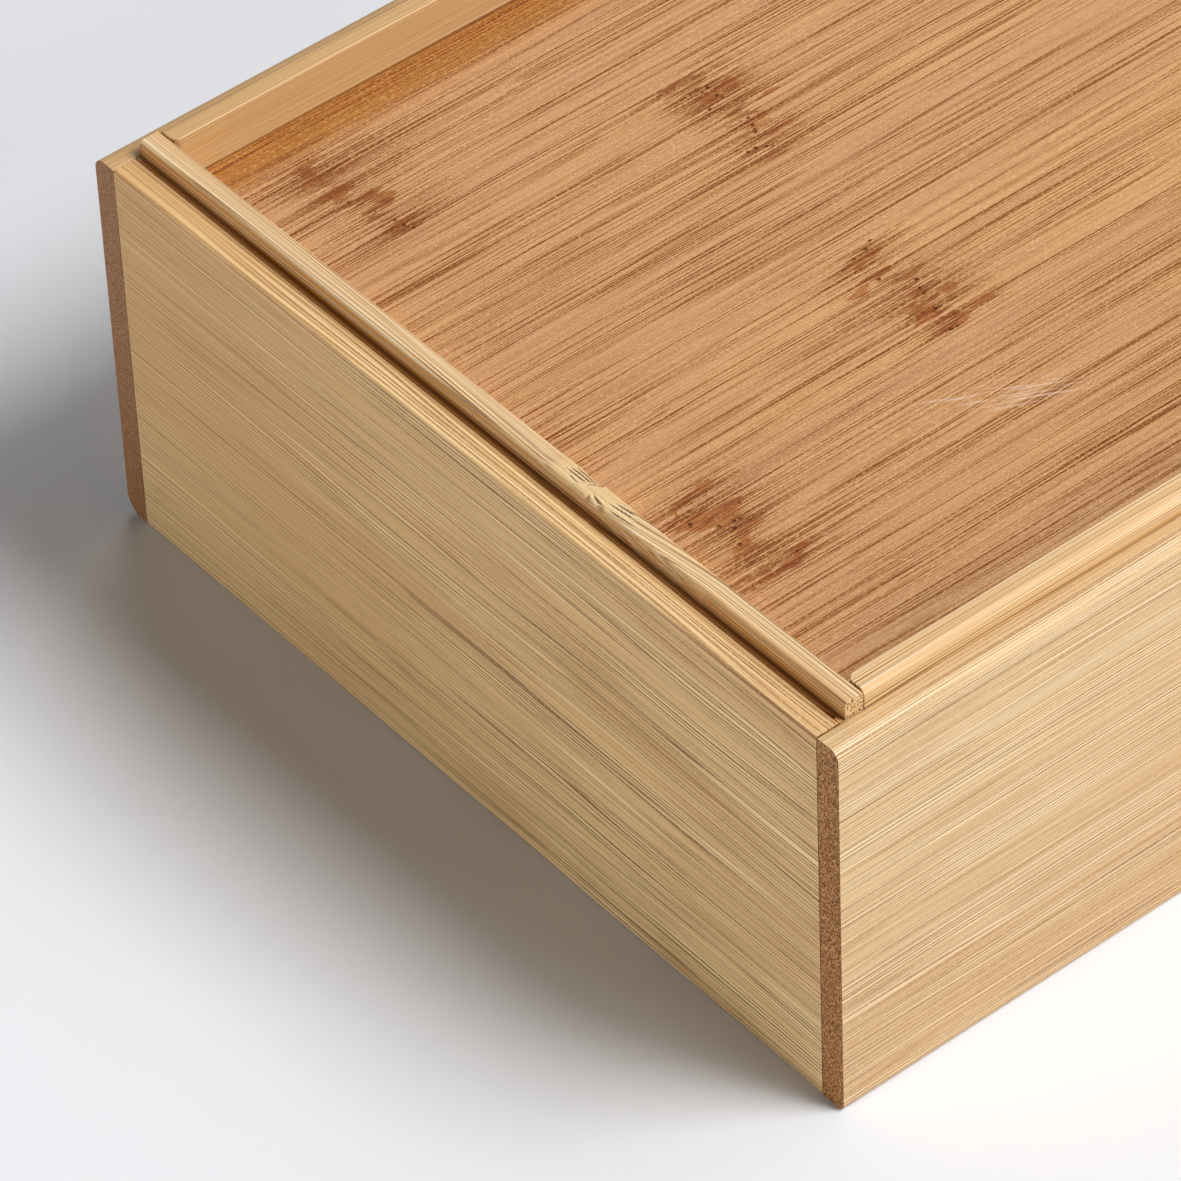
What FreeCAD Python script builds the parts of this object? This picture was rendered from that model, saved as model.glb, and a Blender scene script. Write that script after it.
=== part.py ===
import FreeCAD, Part
import os

import Sketcher

# Stackable bamboo organizer box, lying bottom up on its rim as it is photographed.
# X runs along the length, Y across the width and Z up; the origin is the middle of the rim plane.
# The long walls run through and the end walls butt between them. The base panel is housed in grooves
# of the four walls, and four lip strips on its underside drop into the open top of the next box.

# Driving sizes: name, millimetres and what the size is.
SIZES = (
    ("box_length", 230.0, "outside length of the long walls"),
    ("box_width", 150.0, "outside width over the long walls"),
    ("wall_height", 63.5, "height of the walls from rim to base edge"),
    ("side_wall_thickness", 4.0, "thickness of the long walls"),
    ("end_wall_thickness", 3.7, "thickness of the end walls"),
    ("glue_line", 0.12, "open line where an end wall butts against a long wall"),
    ("front_base_round", 1.6, "sanded outer edge of the front wall at the base"),
    ("back_base_round", 2.0, "sanded outer edge of the back wall at the base"),
    ("front_rim_round", 1.0, "sanded outer edge of the front wall at the rim"),
    ("back_rim_round", 3.0, "sanded outer edge of the back wall at the rim"),
    ("edge_ease", 0.3, "eased edges everywhere else"),
    ("base_recess", 4.2, "depth of the panel's underside below the base edges"),
    ("panel_thickness", 4.0, "thickness of the base panel"),
    ("groove_depth", 2.0, "depth of the panel's grooves in the walls"),
    ("groove_slack", 0.1, "play of the panel across its groove"),
    ("panel_gap", 0.2, "play between the panel's edges and the groove bottoms"),
    ("side_lip_width", 3.5, "width of the lip strips along the long walls"),
    ("end_lip_width", 2.9, "width of the standing part of the end lip strips"),
    ("end_lip_shoulder", 0.9, "step beside the end wall that clears the next box"),
    ("shoulder_drop", 0.2, "depth of that step below the base edge"),
    ("lip_proud", 2.8, "height of the lip above the base edges"),
    ("lip_clearance", 0.15, "play between the lip strips and the pieces beside them"),
    ("side_lip_round", 1.2, "lead-in round on the outer edge of the side lip strips"),
)

# Largest share of a wall's or strip's width that a rounded edge may take.
ROUND_LIMIT = 0.75
# Distance within which an edge's middle counts as found.
FIND_TOLERANCE = 1e-4

INSIDE_LENGTH = "(Sizes.box_length - 2 * Sizes.end_wall_thickness)"
INSIDE_WIDTH = "(Sizes.box_width - 2 * Sizes.side_wall_thickness)"
PANEL_TOP = "(Sizes.wall_height - Sizes.base_recess)"
PANEL_BOTTOM = f"({PANEL_TOP} - Sizes.panel_thickness)"
GROOVE_TOP = f"({PANEL_TOP} + Sizes.groove_slack)"
LIP_HEIGHT = "(Sizes.base_recess + Sizes.lip_proud)"
END_LIP_FOOT = "(Sizes.end_lip_shoulder + Sizes.end_lip_width)"

doc = FreeCAD.newDocument("organizer_box")


def make_sheet():
    """Fills the sheet of driving sizes, one aliased cell each."""
    sheet = doc.addObject("Spreadsheet::Sheet", "Sizes")
    for row, (alias, value, note) in enumerate(SIZES, start=1):
        sheet.set(f"A{row}", alias)
        sheet.set(f"B{row}", str(value))
        sheet.set(f"C{row}", note)
        sheet.setAlias(f"B{row}", alias)
    doc.recompute()


def make_body(label, base, turned=False):
    """Adds an empty body, its base point bound to expressions, turned end for end if asked."""
    body = doc.addObject("PartDesign::Body", label)
    body.Label = label
    turn = FreeCAD.Rotation(FreeCAD.Vector(0, 0, 1), 180 if turned else 0)
    body.Placement = FreeCAD.Placement(FreeCAD.Vector(), turn)
    for axis, place in base.items():
        body.setExpression(f"Placement.Base.{axis}", place)
    return body


def draw_outline(body, name, role, corners):
    """Draws a closed outline on an origin plane, each corner bound to its two expressions."""
    sketch = body.newObject("Sketcher::SketchObject", name)
    plane = next(item for item in body.Origin.OriginFeatures if item.Role == role)
    sketch.AttachmentSupport = [(plane, "")]
    sketch.MapMode = "FlatFace"
    points = [
        FreeCAD.Vector(*(float(sketch.evalExpression(place)) for place in corner))
        for corner in corners
    ]
    count = len(points)
    for index in range(count):
        sketch.addGeometry(Part.LineSegment(points[index], points[(index + 1) % count]))
    for index in range(count):
        sketch.addConstraint(Sketcher.Constraint("Coincident", index, 2, (index + 1) % count, 1))
    for index, corner in enumerate(corners):
        for kind, place, value in zip(("DistanceX", "DistanceY"), corner, points[index]):
            number = sketch.addConstraint(Sketcher.Constraint(kind, -1, 1, index, 1, value))
            sketch.renameConstraint(number, f"{kind}_{index}")
            sketch.setExpression(f"Constraints.{kind}_{index}", place)
    return sketch


def run_through(body, kind, sketch, length):
    """Pads or pockets a section evenly to both sides of its plane."""
    feature = body.newObject(f"PartDesign::{kind}", f"{sketch.Name}_{kind.lower()}")
    feature.Profile = sketch
    feature.SideType = "Symmetric"
    feature.setExpression("Length", length)
    doc.recompute()
    return feature


def round_edges(body, name, middles, radius):
    """Rounds the straight edges whose middles lie at the given expressions."""
    solid = body.Tip
    names = []
    for middle in middles:
        point = FreeCAD.Vector(*(float(solid.evalExpression(place)) for place in middle))
        found = [
            f"Edge{number}"
            for number, edge in enumerate(solid.Shape.Edges, start=1)
            if edge.CenterOfMass.distanceToPoint(point) < FIND_TOLERANCE
        ]
        if len(found) != 1:
            raise RuntimeError(f"{body.Label}: {len(found)} edges at {point}")
        names += found
    fillet = body.newObject("PartDesign::Fillet", f"{body.Name}_{name}")
    fillet.Base = (solid, names)
    fillet.setExpression("Radius", radius)
    doc.recompute()


def limited(radius, width):
    """A radius that stays within its share of the width it is cut from."""
    return f"min({radius}; {ROUND_LIMIT} * {width})"


def make_long_wall(label, side, place, turned):
    """A long wall with a stopped groove for the panel, its outer face on Y = 0."""
    wall = make_body(label, {"y": place}, turned)
    thick = "Sizes.side_wall_thickness"
    high = "Sizes.wall_height"
    corners = [("0", "0"), (thick, "0"), (thick, high), ("0", high)]
    section = draw_outline(wall, f"{label}_section", "YZ_Plane", corners)
    run_through(wall, "Pad", section, "Sizes.box_length")
    groove_bottom = f"{thick} - Sizes.groove_depth"
    groove = draw_outline(
        wall,
        f"{label}_groove",
        "YZ_Plane",
        [
            (groove_bottom, PANEL_BOTTOM),
            (thick, PANEL_BOTTOM),
            (thick, GROOVE_TOP),
            (groove_bottom, GROOVE_TOP),
        ],
    )
    run_through(wall, "Pocket", groove, f"{INSIDE_LENGTH} + 2 * Sizes.groove_depth")
    round_edges(wall, "base_round", [("0", "0", high)], limited(f"Sizes.{side}_base_round", thick))
    round_edges(wall, "rim_round", [("0", "0", "0")], limited(f"Sizes.{side}_rim_round", thick))
    round_edges(wall, "ease", [("0", thick, "0"), ("0", thick, high)], "Sizes.edge_ease")
    return wall


def make_end_wall(label, place, turned):
    """An end wall between the long walls, the panel's groove run through, its outer face on X = 0."""
    wall = make_body(label, {"x": place}, turned)
    thick = "Sizes.end_wall_thickness"
    high = "Sizes.wall_height"
    groove_bottom = f"{thick} - Sizes.groove_depth"
    section = draw_outline(
        wall,
        f"{label}_section",
        "XZ_Plane",
        [
            ("0", "0"),
            (thick, "0"),
            (thick, PANEL_BOTTOM),
            (groove_bottom, PANEL_BOTTOM),
            (groove_bottom, GROOVE_TOP),
            (thick, GROOVE_TOP),
            (thick, high),
            ("0", high),
        ],
    )
    run_through(wall, "Pad", section, f"{INSIDE_WIDTH} - 2 * Sizes.glue_line")
    edges = [("0", "0", "0"), (thick, "0", "0"), (thick, "0", high), ("0", "0", high)]
    round_edges(wall, "ease", edges, "Sizes.edge_ease")
    return wall


def make_panel(label):
    """The base panel, its edges in the grooves of the four walls."""
    panel = make_body(label, {"z": f"{PANEL_BOTTOM} + Sizes.panel_thickness / 2"})
    reach = "(Sizes.groove_depth - Sizes.panel_gap)"
    half_length = f"({INSIDE_LENGTH} / 2 + {reach})"
    half_width = f"({INSIDE_WIDTH} / 2 + {reach})"
    sheet = draw_outline(
        panel,
        f"{label}_outline",
        "XY_Plane",
        [
            (f"-{half_length}", f"-{half_width}"),
            (half_length, f"-{half_width}"),
            (half_length, half_width),
            (f"-{half_length}", half_width),
        ],
    )
    run_through(panel, "Pad", sheet, "Sizes.panel_thickness")
    return panel


def make_side_lip(label, place, turned):
    """A lip strip along a long wall, between the end lip strips, its outer face on Y = 0."""
    strip = make_body(label, {"y": place, "z": PANEL_TOP}, turned)
    wide = "Sizes.side_lip_width"
    corners = [("0", "0"), (wide, "0"), (wide, LIP_HEIGHT), ("0", LIP_HEIGHT)]
    section = draw_outline(strip, f"{label}_section", "YZ_Plane", corners)
    length = f"{INSIDE_LENGTH} - 2 * ({END_LIP_FOOT} + 2 * Sizes.lip_clearance)"
    run_through(strip, "Pad", section, length)
    round_edges(strip, "lead_in", [("0", "0", LIP_HEIGHT)], limited("Sizes.side_lip_round", wide))
    round_edges(strip, "ease", [("0", wide, LIP_HEIGHT)], "Sizes.edge_ease")
    return strip


def make_end_lip(label, place, turned):
    """A lip strip along an end wall with a low shoulder beside that wall, its foot on X = 0."""
    strip = make_body(label, {"x": place, "z": PANEL_TOP}, turned)
    shoulder_top = "(Sizes.base_recess - Sizes.shoulder_drop)"
    shoulder = "Sizes.end_lip_shoulder"
    section = draw_outline(
        strip,
        f"{label}_section",
        "XZ_Plane",
        [
            ("0", "0"),
            (END_LIP_FOOT, "0"),
            (END_LIP_FOOT, LIP_HEIGHT),
            (shoulder, LIP_HEIGHT),
            (shoulder, shoulder_top),
            ("0", shoulder_top),
        ],
    )
    run_through(strip, "Pad", section, f"{INSIDE_WIDTH} - 2 * Sizes.lip_clearance")
    edges = [(shoulder, "0", LIP_HEIGHT), (END_LIP_FOOT, "0", LIP_HEIGHT)]
    round_edges(strip, "ease", edges, "Sizes.edge_ease")
    return strip


def check_and_write(bodies):
    """Stops on any failed object or bad solid, then writes one file for each piece."""
    for item in doc.Objects:
        if "Invalid" in item.State or "Error" in item.State:
            raise RuntimeError(f"{item.Label} failed: {item.State}")
    for body in bodies:
        shape = body.Shape
        if shape.isNull() or not shape.isValid() or len(shape.Solids) != 1:
            raise RuntimeError(f"{body.Label} is not one valid solid")
    os.makedirs("parts", exist_ok=True)
    for body in bodies:
        body.Shape.exportStep(f"parts/{body.Label}.step")
        box = body.Shape.BoundBox
        size = f"{box.XLength:.2f} x {box.YLength:.2f} x {box.ZLength:.2f} mm"
        print(f"{body.Label}: {body.Shape.Volume:.1f} mm3, {size}")


def main():
    """Builds the nine pieces and writes them."""
    make_sheet()
    half_width = "Sizes.box_width / 2"
    half_length = "Sizes.box_length / 2"
    side_lip_place = f"({INSIDE_WIDTH} / 2 - Sizes.lip_clearance)"
    end_lip_place = f"({INSIDE_LENGTH} / 2 - Sizes.lip_clearance)"
    bodies = [
        make_long_wall("front_wall", "front", f"-{half_width}", False),
        make_long_wall("back_wall", "back", half_width, True),
        make_end_wall("left_end_wall", f"-{half_length}", False),
        make_end_wall("right_end_wall", half_length, True),
        make_panel("base_panel"),
        make_side_lip("front_lip_strip", f"-{side_lip_place}", False),
        make_side_lip("back_lip_strip", side_lip_place, True),
        make_end_lip("left_lip_strip", f"-{end_lip_place}", False),
        make_end_lip("right_lip_strip", end_lip_place, True),
    ]
    doc.recompute()
    check_and_write(bodies)


main()
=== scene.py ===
"""Dresses the bamboo organizer box, lying bottom up: its finishes, stacking lip, studio and camera.

The finishes and the lip are measured in millimetres, the studio in metres, and colours are sRGB hex values.
"""

import logging
import math
from dataclasses import dataclass, replace
from enum import Enum

import bmesh
import bpy
from mathutils import Euler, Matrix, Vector


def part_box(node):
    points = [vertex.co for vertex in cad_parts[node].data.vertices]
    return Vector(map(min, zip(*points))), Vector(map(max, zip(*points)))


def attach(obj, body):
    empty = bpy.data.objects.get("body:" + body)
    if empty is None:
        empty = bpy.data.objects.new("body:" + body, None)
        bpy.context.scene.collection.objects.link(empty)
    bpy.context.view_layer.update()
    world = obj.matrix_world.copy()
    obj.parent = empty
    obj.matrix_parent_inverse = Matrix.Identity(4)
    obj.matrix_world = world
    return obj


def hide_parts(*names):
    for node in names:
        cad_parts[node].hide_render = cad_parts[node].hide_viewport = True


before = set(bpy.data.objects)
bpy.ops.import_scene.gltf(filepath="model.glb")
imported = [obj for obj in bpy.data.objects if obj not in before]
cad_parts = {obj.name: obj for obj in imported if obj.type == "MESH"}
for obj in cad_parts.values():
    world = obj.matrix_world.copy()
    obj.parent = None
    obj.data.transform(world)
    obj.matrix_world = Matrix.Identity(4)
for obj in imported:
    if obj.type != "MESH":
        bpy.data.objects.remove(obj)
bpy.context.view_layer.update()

MM = 0.001
BODY = "root"
LOG = logging.getLogger("organizer_box")

Colour = tuple[float, float, float, float]
Node = bpy.types.Node
Socket = bpy.types.NodeSocket
Tree = bpy.types.NodeTree
Point = tuple[float, float]
Triple = tuple[float, float, float]
# What can feed one number to an input.
Feed = Node | Socket | float

# How far a seed shifts the noise along each axis, so that layers do not repeat each other.
SEED_SHIFT = (1.0, 1.7, 2.3)
# Bunches of fibre lines: their length in lines, the noise levels where they begin and are full, and the share
# of the lines that still shows between them.
BUNCH_LENGTH = 1.5
BUNCH_RANGE = (0.42, 0.6)
BETWEEN_BUNCHES = 0.3
# Fibre bundles: the widths in spacings over which they stray and vary in vigour, the noise levels over which
# the vigour grows, and the part of each wave that shows as a line.
STRAY_WIDTH = 3
VIGOUR_WIDTH = 2
VIGOUR_RANGE = (0.36, 0.6)
WAVE_RANGE = (-0.1, 0.9)
# What a strip's mesh tells its material: its burnt places, which painted shade darkens further in the
# groove's inner corner; painted light on the shoulder; painted shade in the knot's hollows; its swollen and
# ridged places;
# and how far its fibres bend sideways.
FACE_MARKS = ("scorch_and_shade", "shoulder_light", "hollow_shade", "swell", "ridge")
SWAY = "sway"
# The lacquer's refraction and gloss.
LACQUER_IOR = 1.5
LACQUER_GLOSS = 0.5


def linear(hex_colour: str) -> Colour:
    """Turns an sRGB hex colour into linear values.

    Args:
        hex_colour: the colour as "#rrggbb".

    Returns:
        Linear red, green and blue, and an alpha of one.
    """
    shares = [int(hex_colour[place : place + 2], 16) / 255 for place in (1, 3, 5)]
    red, green, blue = (
        share / 12.92 if share <= 0.04045 else ((share + 0.055) / 1.055) ** 2.4 for share in shares
    )
    return (red, green, blue, 1.0)


def add_node(tree: Tree, kind: str, inputs: dict | tuple = (), **settings: object) -> Node:
    """Adds one node with its settings, and fills or links its inputs.

    Args:
        tree: the node tree that gets the node.
        kind: which shader node it is.
        inputs: values in the order of the inputs, or by their names or numbers; an output socket is linked,
            and a node stands for its first output.
        settings: the node's own properties.

    Returns:
        The new node.
    """
    node = tree.nodes.new(f"ShaderNode{kind}")
    for name, value in settings.items():
        setattr(node, name, value)
    pairs = inputs.items() if isinstance(inputs, dict) else enumerate(inputs)
    for place, value in pairs:
        source = value.outputs[0] if isinstance(value, Node) else value
        if isinstance(source, Socket):
            tree.links.new(source, node.inputs[place])
        else:
            node.inputs[place].default_value = source
    return node


class Grain(Enum):
    """The way a piece's fibres run, as the turn in degrees that lays the pattern's X along them."""

    ALONG_LENGTH = 0.0
    ALONG_WIDTH = -90.0


@dataclass
class Surface:
    """A finish under way: its tree, coordinates, colour, height, and where the lacquer has sunk in."""

    tree: Tree
    fibres: Node
    colour: Socket | Colour
    height: Node | float = 0.0
    sunk: Node | float = 0.0

    def paint(
        self,
        value: Feed,
        colour: str,
        strength: float,
        relief: float = 0.0,
        span: Point | None = None,
        within: Feed = 1.0,
    ) -> None:
        """Lays a colour over the surface, and raises or sinks it there.

        Args:
            value: where the colour lies: a share from zero to one, or any value if a span is given.
            colour: its sRGB hex value.
            strength: how far it covers what lies under it.
            relief: height added there; the lacquer sinks in where it is negative.
            span: values where the colour begins to show and where it shows fully.
            within: share that limits it further.
        """
        share = value
        if span:
            share = add_node(self.tree, "MapRange", (value, *span), interpolation_type="SMOOTHSTEP")
        if within != 1.0:
            share = add_node(self.tree, "Math", (share, within), operation="MULTIPLY")
        cover = add_node(self.tree, "Math", (share, strength), operation="MULTIPLY")
        inputs = {0: cover, 6: self.colour, 7: linear(colour)}
        self.colour = add_node(self.tree, "Mix", inputs, data_type="RGBA").outputs[2]
        if relief:
            inputs = (share, relief, self.height)
            self.height = add_node(self.tree, "Math", inputs, operation="MULTIPLY_ADD")
        if relief < 0:
            self.sunk = add_node(self.tree, "Math", (cover, self.sunk), operation="MAXIMUM")


@dataclass(frozen=True)
class Streaks:
    """Fibre lines of one colour, drawn from stretched noise.

    Args:
        length: usual length of a line.
        width: usual width of a line.
        start: noise level where a line begins to show.
        full: noise level where it shows fully.
        colour: colour of the lines.
        strength: how far the lines cover what lies under them.
        seed: shift that sets this layer apart from the others.
        relief: height of the lines, negative where they are open pores.
        bunch: width of the bunches that the lines gather in, or zero for an even spread.
    """

    length: float
    width: float
    start: float
    full: float
    colour: str
    strength: float
    seed: float
    relief: float = 0.0
    bunch: float = 0.0

    def level(self, surface: Surface, fibres: Node) -> Node:
        """Adds the stretched noise of these lines.

        Args:
            surface: the finish under way.
            fibres: coordinates with X along the fibres.

        Returns:
            The noise level, about 0.5 on average.
        """
        shift = tuple(part * self.seed for part in SEED_SHIFT)
        scale = (1 / self.length, 1 / self.width, 1 / self.width)
        inputs = {"Vector": fibres, "Location": shift, "Scale": scale}
        stretched = add_node(surface.tree, "Mapping", inputs)
        inputs = {"Vector": stretched, "Scale": 1.0, "Detail": 1.0, "Roughness": 0.6}
        return add_node(surface.tree, "TexNoise", inputs)

    def lines(self, surface: Surface, fibres: Node, bias: Feed = 0.0) -> Node:
        """Draws the lines.

        Args:
            surface: the finish under way.
            fibres: coordinates with X along the fibres.
            bias: noise level added, which makes the lines denser.

        Returns:
            The share of the lines, from zero off them to one on them.
        """
        level = add_node(surface.tree, "Math", (self.level(surface, fibres), bias), operation="ADD")
        inputs = (level, self.start, self.full)
        return add_node(surface.tree, "MapRange", inputs, interpolation_type="SMOOTHSTEP")

    def gathering(self, surface: Surface, fibres: Node) -> Feed:
        """Works out how fully the lines show from place to place.

        Args:
            surface: the finish under way.
            fibres: coordinates with X along the fibres.

        Returns:
            A small share between the bunches and one in them, or one all over if the lines spread evenly.
        """
        if not self.bunch:
            return 1.0
        length = BUNCH_LENGTH * self.length
        slow = Streaks(length, self.bunch, *BUNCH_RANGE, self.colour, 1.0, self.seed + 0.5)
        inputs = (slow.lines(surface, fibres), 1 - BETWEEN_BUNCHES, BETWEEN_BUNCHES)
        return add_node(surface.tree, "Math", inputs, operation="MULTIPLY_ADD")


@dataclass(frozen=True)
class Bundles:
    """Fibre bundles at a nearly even spacing, which show as fine brown lines between pale ones.

    Args:
        spacing: distance from one bundle to the next.
        unrest: how far the lines stray from the even spacing, in spacings.
        length: usual length of a line.
        brown: colour of the bundles.
        pale: colour of the wood between them.
        strength: how far the strongest lines cover what lies under them.
    """

    spacing: float
    unrest: float
    length: float
    brown: str
    pale: str
    strength: float

    def lay(self, surface: Surface, emphasis: Feed) -> None:
        """Paints the lines over a finish.

        Args:
            surface: the finish under way.
            emphasis: share of their strength that shows.
        """
        tree, fibres = surface.tree, surface.fibres
        parts = add_node(tree, "SeparateXYZ", (fibres,)).outputs
        across = add_node(tree, "Math", (parts["Y"], parts["Z"]), operation="ADD")
        place = add_node(tree, "Math", (across, math.tau / self.spacing), operation="MULTIPLY")
        straying = Streaks(self.length, STRAY_WIDTH * self.spacing, 0.0, 1.0, self.brown, 1.0, 12.0)
        inputs = (straying.level(surface, fibres), math.tau * self.unrest, place)
        phase = add_node(tree, "Math", inputs, operation="MULTIPLY_ADD")
        wave = add_node(tree, "Math", (phase,), operation="SINE")
        patchy = Streaks(self.length, VIGOUR_WIDTH * self.spacing, *VIGOUR_RANGE, self.brown, 1.0, 13.0)
        vigour = patchy.lines(surface, fibres)
        shown = add_node(tree, "Math", (vigour, emphasis), operation="MULTIPLY")
        low, high = WAVE_RANGE
        surface.paint(wave, self.brown, self.strength, span=(low, high), within=shown)
        surface.paint(wave, self.pale, self.strength, span=(-low, -high), within=shown)


@dataclass(frozen=True)
class EndGrain:
    """The cut ends of the fibres: darker wood with the ends of the bundles as dots.

    Args:
        colour: colour of the cut wood.
        pores: colour of the open bundle ends.
        pith: colour of the soft wood between them.
        spacing: distance between bundles.
        facing: how squarely a face cuts the fibres where their ends begin to show and where they fully do.
        dots: distance from a bundle's middle, in spacings, where its dot begins and where it is full.
        gaps: distance where the wood between the bundles begins to show and where it fully does.
    """

    colour: str
    pores: str
    pith: str
    spacing: float
    facing: Point = (0.6, 0.8)
    dots: Point = (0.45, 0.25)
    gaps: Point = (0.5, 0.75)

    def lay(self, surface: Surface, grain: Grain) -> None:
        """Paints the faces that cut across the fibres.

        Args:
            surface: the finish under way.
            grain: the way the fibres run.
        """
        tree = surface.tree
        normal = add_node(tree, "NewGeometry").outputs["True Normal"]
        parts = add_node(tree, "SeparateXYZ", (normal,)).outputs
        cut = parts["X"] if grain is Grain.ALONG_LENGTH else parts["Y"]
        square = add_node(tree, "Math", (cut,), operation="ABSOLUTE")
        across = add_node(tree, "MapRange", (square, *self.facing), interpolation_type="SMOOTHSTEP")
        scale = (0.0, 1 / self.spacing, 1 / self.spacing)
        section = add_node(tree, "Mapping", {"Vector": surface.fibres, "Scale": scale})
        away = add_node(tree, "TexVoronoi", {"Vector": section, "Scale": 1.0, "Randomness": 0.9})
        surface.paint(across, self.colour, 1.0)
        surface.paint(away, self.pith, 0.8, span=self.gaps, within=across)
        surface.paint(away, self.pores, 0.85, relief=-0.03, span=self.dots, within=across)


@dataclass(frozen=True)
class Bamboo:
    """Glued bamboo, sanded and thinly lacquered.

    Args:
        name: name of the material.
        base: colour of the soft wood between the fibres.
        streaks: the fibre lines, laid in order.
        end_grain: the look of the cut ends.
        roughness: roughness of the lacquer.
        drift: how far the fibres wander sideways.
        bends: length and width of the bends that they wander in.
        pore_roughness: roughness where the lacquer has sunk into open pores.
        pore_gloss: specular level in the pores.
        boldness: share of the lines' strength that shows.
        bundles: the evenly spaced fine lines, if it has them.
    """

    name: str
    base: str
    streaks: tuple[Streaks, ...]
    end_grain: EndGrain
    roughness: float
    drift: float = 0.8
    bends: Point = (45.0, 14.0)
    pore_roughness: float = 0.8
    pore_gloss: float = 0.2
    boldness: float = 1.0
    bundles: Bundles | None = None

    def coordinates(self, tree: Tree, grain: Grain) -> Node:
        """Adds the fibre coordinates of a piece.

        Args:
            tree: the material's node tree.
            grain: the way the fibres run.

        Returns:
            Object coordinates, X along the fibres, which wander a little.
        """
        place = add_node(tree, "TexCoord").outputs["Object"]
        turn = (0.0, 0.0, math.radians(grain.value))
        inputs = {"Vector": place, "Rotation": turn, "Scale": (1 / MM, 1 / MM, 1 / MM)}
        turned = add_node(tree, "Mapping", inputs)
        length, width = self.bends
        scale = (1 / length, 1 / width, 1 / width)
        slow = add_node(tree, "Mapping", {"Vector": turned, "Scale": scale})
        wander = add_node(tree, "TexNoise", {"Vector": slow, "Scale": 1.0, "Detail": 1.0}).outputs["Color"]
        centred = add_node(tree, "VectorMath", (wander, (0.5, 0.5, 0.5)), operation="SUBTRACT")
        inputs = (centred, (0.0, self.drift, self.drift), turned)
        return add_node(tree, "VectorMath", inputs, operation="MULTIPLY_ADD")

    def emphasis(self, surface: Surface) -> Feed:
        """Gives the share of the lines' strength that shows from place to place: here the same all over."""
        return self.boldness

    def draw(self, surface: Surface) -> None:
        """Lays the fibre lines over the base colour.

        Args:
            surface: the finish under way.
        """
        emphasis = self.emphasis(surface)
        if self.bundles:
            self.bundles.lay(surface, emphasis)
        for layer in self.streaks:
            gathered = layer.gathering(surface, surface.fibres)
            shown = add_node(surface.tree, "Math", (gathered, emphasis), operation="MULTIPLY")
            lines = layer.lines(surface, surface.fibres)
            surface.paint(lines, layer.colour, layer.strength, layer.relief, within=shown)

    def material(self, grain: Grain) -> bpy.types.Material:
        """Makes the material for pieces whose fibres run one way.

        Args:
            grain: the way the fibres run.

        Returns:
            The new material.
        """
        made = bpy.data.materials.new(f"{self.name}_{grain.name.lower()}")
        made.use_nodes = True
        tree = made.node_tree
        tree.nodes.clear()
        surface = Surface(tree, self.coordinates(tree, grain), linear(self.base))
        self.draw(surface)
        self.end_grain.lay(surface, grain)
        inputs = (surface.sunk, 0.0, 1.0, self.roughness, self.pore_roughness)
        roughness = add_node(tree, "MapRange", inputs, interpolation_type="SMOOTHSTEP")
        inputs = (surface.sunk, 0.0, 1.0, LACQUER_GLOSS, self.pore_gloss)
        gloss = add_node(tree, "MapRange", inputs, interpolation_type="SMOOTHSTEP")
        bump = add_node(tree, "Bump", {"Height": surface.height, "Distance": MM, "Strength": 1.0})
        inputs = {
            "Base Color": surface.colour,
            "Roughness": roughness,
            "IOR": LACQUER_IOR,
            "Specular IOR Level": gloss,
            "Normal": bump,
        }
        shader = add_node(tree, "BsdfPrincipled", inputs)
        add_node(tree, "OutputMaterial", {"Surface": shader})
        return made


@dataclass(frozen=True)
class SidePressedBamboo(Bamboo):
    """A board with shading painted towards its rim, and whose lines fade along it.

    Args:
        rim_shading_colour: colour of the shading painted towards the rim: darker as painted shade, paler as
            painted light.
        rim_shading_strength: how far it leans there.
        rim_shading_height: height where the shift ends.
        fade: where along the fibres the lines begin to fade, and where the fading ends.
        far_boldness: share of the lines' strength beyond the fading.
        far_colour: colour that the board leans to beyond the fading.
        far_strength: how far it leans there.
    """

    rim_shading_colour: str = "#ffffff"
    rim_shading_strength: float = 0.0
    rim_shading_height: float = 40.0
    fade: Point = (-30.0, 60.0)
    far_boldness: float = 1.0
    far_colour: str = "#000000"
    far_strength: float = 0.0

    def emphasis(self, surface: Surface) -> Feed:
        """Works out the share of the lines' strength that shows from place to place.

        Args:
            surface: the finish under way.

        Returns:
            The share, which changes along the board.
        """
        along = add_node(surface.tree, "SeparateXYZ", (surface.fibres,)).outputs["X"]
        inputs = (along, *self.fade, self.boldness, self.far_boldness)
        return add_node(surface.tree, "MapRange", inputs, interpolation_type="SMOOTHSTEP")

    def draw(self, surface: Surface) -> None:
        """Paints shading towards the rim, shifts the colour towards the far end, and lays the fibre lines
        over it.

        Args:
            surface: the finish under way.
        """
        parts = add_node(surface.tree, "SeparateXYZ", (surface.fibres,)).outputs
        surface.paint(parts["X"], self.far_colour, self.far_strength, span=self.fade)
        # Painted shading towards the rim, where the box stands on the floor.
        surface.paint(parts["Z"], self.rim_shading_colour, self.rim_shading_strength, span=(self.rim_shading_height, 0.0))
        super().draw(surface)


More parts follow.
